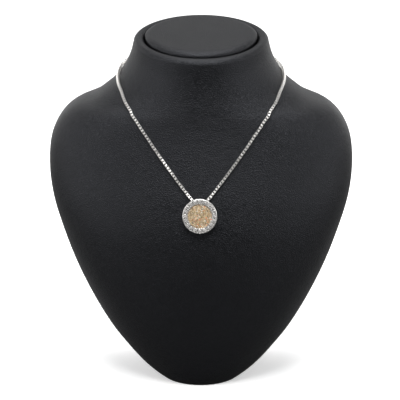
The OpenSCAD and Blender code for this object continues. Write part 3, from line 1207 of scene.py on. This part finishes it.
        strewn = web.add("GeometryNodeDistributePointsOnFaces", {
            "Mesh": ground, "Density": density, "Seed": seed}, distribute_method="RANDOM")
        grain = web.add("GeometryNodeMeshIcoSphere", {"Radius": 1.0, "Subdivisions": 1})
        flattest, fullest, tilt, whole_turn = (0.75, 0.6, 0.35), (1.2, 1.0, 0.7), 0.5, 6.28
        radius = web.remap(web.math("POWER", chance(1.0, 0.0, 1.0), skew), (0.0, 1.0), sizes)
        shape = chance(2.0, flattest, fullest, "FLOAT_VECTOR")
        size = web.vector("SCALE", {0: shape, "Scale": radius})
        spin = chance(3.0, (-tilt, -tilt, 0.0), (tilt, tilt, whole_turn), "FLOAT_VECTOR")
        placed = web.add("GeometryNodeInstanceOnPoints", {
            "Points": strewn.outputs["Points"], "Instance": grain,
            "Rotation": web.turned(strewn.outputs["Rotation"], spin), "Scale": size})
        return web.add("GeometryNodeStoreNamedAttribute", {
            "Geometry": placed, "Name": "tint", "Value": chance(4.0, *tints)},
            data_type="FLOAT", domain="INSTANCE").outputs[0]

    def dress_stones(self) -> list[Object]:
        """Gives the cut stones of the frame their material.

        Returns:
            The stones.
        """
        material = self.stone.make()
        dressed = [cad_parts[f"halo_stone_{k + 1:02d}"] for k in range(self.stones)]
        for stone in dressed:
            stone.data.materials.clear()
            stone.data.materials.append(material)
        return dressed


@dataclass(frozen=True)
class Softbox:
    """A square studio light that faces the bust."""

    name: str
    place: tuple[float, float, float]
    size: float
    power: float

    def hang(self, target: Vector) -> None:
        """Makes the light at its place in metres, turned to the target.

        Args:
            target: The point that it faces, in metres.
        """
        light = bpy.data.lights.new(self.name, "AREA")
        light.shape = "SQUARE"
        light.size = self.size
        light.energy = self.power
        made = linked(self.name, light)
        made.location = self.place
        made.rotation_euler = (target - Vector(self.place)).to_track_quat("-Z", "Y").to_euler()
        made.visible_camera = False


def camera_choice(web: NodeWeb, lit: object, seen: object) -> NodeSocket:
    """A strength that is one value as light on the object, and another where the camera looks at it."""
    ray = web.add("ShaderNodeLightPath").outputs["Is Camera Ray"]
    return web.add("ShaderNodeMix", {0: ray, 2: lit, 3: seen}, data_type="FLOAT").outputs[0]


@dataclass
class Studio:
    """The pale floor, the soft lights and the camera at the photograph's angle. Lengths are metres.

    The floor's bounce and roughness are a patch size in millimetres and the values between which it changes.
    """

    target_height: float = 0.1173
    distance: float = 1.177
    elevation: float = 12.0
    azimuth: float = 0.7
    focal_px: float = 1740.0
    frame_px: float = 400.0
    sensor: float = 36.0
    shift_px: float = 0.9
    clip: tuple[float, float] = (0.05, 50.0)
    front_light: float = 0.06
    back_light: float = 0.55
    backdrop: float = 0.99
    floor_bounce: tuple[float, float, float] = (400.0, 0.19, 0.21)
    floor_tone: float = 0.9
    foot_glow: float = 0.40
    glow_fade: tuple[float, float] = (0.14, 0.6)
    floor_roughness: tuple[float, float, float] = (300.0, 0.7, 0.8)
    floor_half: float = 6.0
    room_fade: tuple[float, float] = (-0.9, -0.1)
    lights: tuple[Softbox, ...] = (
        Softbox("overhead_softbox", (0.0, -0.15, 1.15), 0.9, 10.6),
        Softbox("back_softbox", (0.0, 0.6, 1.1), 0.8, 1.0),
        Softbox("key_light", (0.0, -0.75, 1.0), 0.35, 4.4),
        Softbox("left_front_softbox", (-0.82, -0.66, 0.45), 0.7, 3.0),
        Softbox("right_front_softbox", (0.82, -0.66, 0.45), 0.7, 2.5),
        Softbox("left_low_light", (-1.05, -0.22, 0.36), 0.7, 1.9),
        Softbox("right_low_light", (1.05, -0.22, 0.36), 0.7, 1.7),
        Softbox("left_side_softbox", (-1.0, 0.3, 0.55), 0.6, 1.1),
        Softbox("right_side_softbox", (1.0, 0.3, 0.55), 0.6, 1.1),
        Softbox("left_back_softbox", (-0.6, 0.9, 0.4), 0.8, 1.2),
        Softbox("right_back_softbox", (0.6, 0.9, 0.4), 0.8, 1.2),
    )

    def camera(self) -> None:
        """Makes the scene's camera."""
        data = bpy.data.cameras.new("camera")
        data.sensor_width = self.sensor
        data.lens = self.focal_px / self.frame_px * self.sensor
        data.shift_x = -self.shift_px / self.frame_px
        data.clip_start, data.clip_end = self.clip
        made = linked("camera", data)
        a, e = math.radians(self.azimuth), math.radians(self.elevation)
        back = Vector((math.sin(a) * math.cos(e), -math.cos(a) * math.cos(e), math.sin(e)))
        made.location = Vector((0, 0, self.target_height)) + back * self.distance
        made.rotation_euler = (-back).to_track_quat("-Z", "Y").to_euler()
        bpy.context.scene.camera = made

    def floor(self) -> None:
        """Makes the pale floor: to the camera it glows white, a painted light, with less glow round the foot
        so the lights' shadow shows there; as light it is dimmer.
        """
        corners = np.array([(-1, -1, 0), (1, -1, 0), (1, 1, 0), (-1, 1, 0)]) * self.floor_half / MM
        made = new_object("studio_floor", corners, [(0, 1, 2, 3)], smooth=False)
        finish = Finish("pale_floor", {"Specular IOR Level": 0.1, "Emission Color": (1, 1, 1, 1)})
        web = finish.web
        away = web.add("ShaderNodeVectorMath", {0: finish.place}, operation="LENGTH")
        # Painted light: the camera-only glow rises from the foot outward to the backdrop's white.
        tones = (self.foot_glow, self.backdrop)
        seen = web.remap(away.outputs["Value"], self.glow_fade, tones, "SMOOTHSTEP")
        finish.feed(Base_Color=camera_choice(web, finish.patches(*self.floor_bounce), self.floor_tone),
                    Roughness=finish.patches(*self.floor_roughness),
                    Emission_Strength=camera_choice(web, 0.0, seen))
        made.data.materials.append(finish.material)

    def world(self) -> None:
        """Makes the room: bright at the back and sides, dim in front, and plain white to the camera."""
        room = bpy.data.worlds.new("room")
        room.use_nodes = True
        web = NodeWeb(room.node_tree)
        way = web.add("ShaderNodeSeparateXYZ", {0: web.add("ShaderNodeTexCoord").outputs["Generated"]})
        light = web.remap(way.outputs["Y"], self.room_fade, (self.front_light, self.back_light), "SMOOTHSTEP")
        strength = camera_choice(web, light, self.backdrop)
        glow = web.add("ShaderNodeBackground", {"Strength": strength})
        web.add("ShaderNodeOutputWorld", {"Surface": glow})
        bpy.context.scene.world = room
        bpy.context.scene.view_settings.view_transform = "Standard"

    def build(self) -> None:
        """Makes the whole studio."""
        self.camera()
        self.floor()
        self.world()
        for light in self.lights:
            light.hang(Vector((0, 0, self.target_height)))


def report(pieces: Iterable[Object]) -> None:
    """Logs the name and size of each piece."""
    for piece in pieces:
        LOG.info("%s: %d vertices, %d faces", piece.name, len(piece.data.vertices), len(piece.data.polygons))


def main() -> None:
    """Builds the studio and every piece, in order."""
    logging.basicConfig(level=logging.INFO, format="%(name)s: %(message)s")
    Studio().build()
    skin = BustSkin()
    route = ChainRoute(skin)
    report([NeckBust(skin, Leatherette("bust_leatherette")).build()])
    report([NeckCap(skin, Leatherette("cap_leatherette")).build()])
    chain_silver = Silver("chain_silver")
    report([BoxChain(route, chain_silver).build()])
    report([Clasp(route, chain_silver).build()])
    report(Pendant(route, Silver("setting_silver"), Sand("set_sand"), CutStone("clear_stone")).build())


if __name__ == "__main__":
    main()
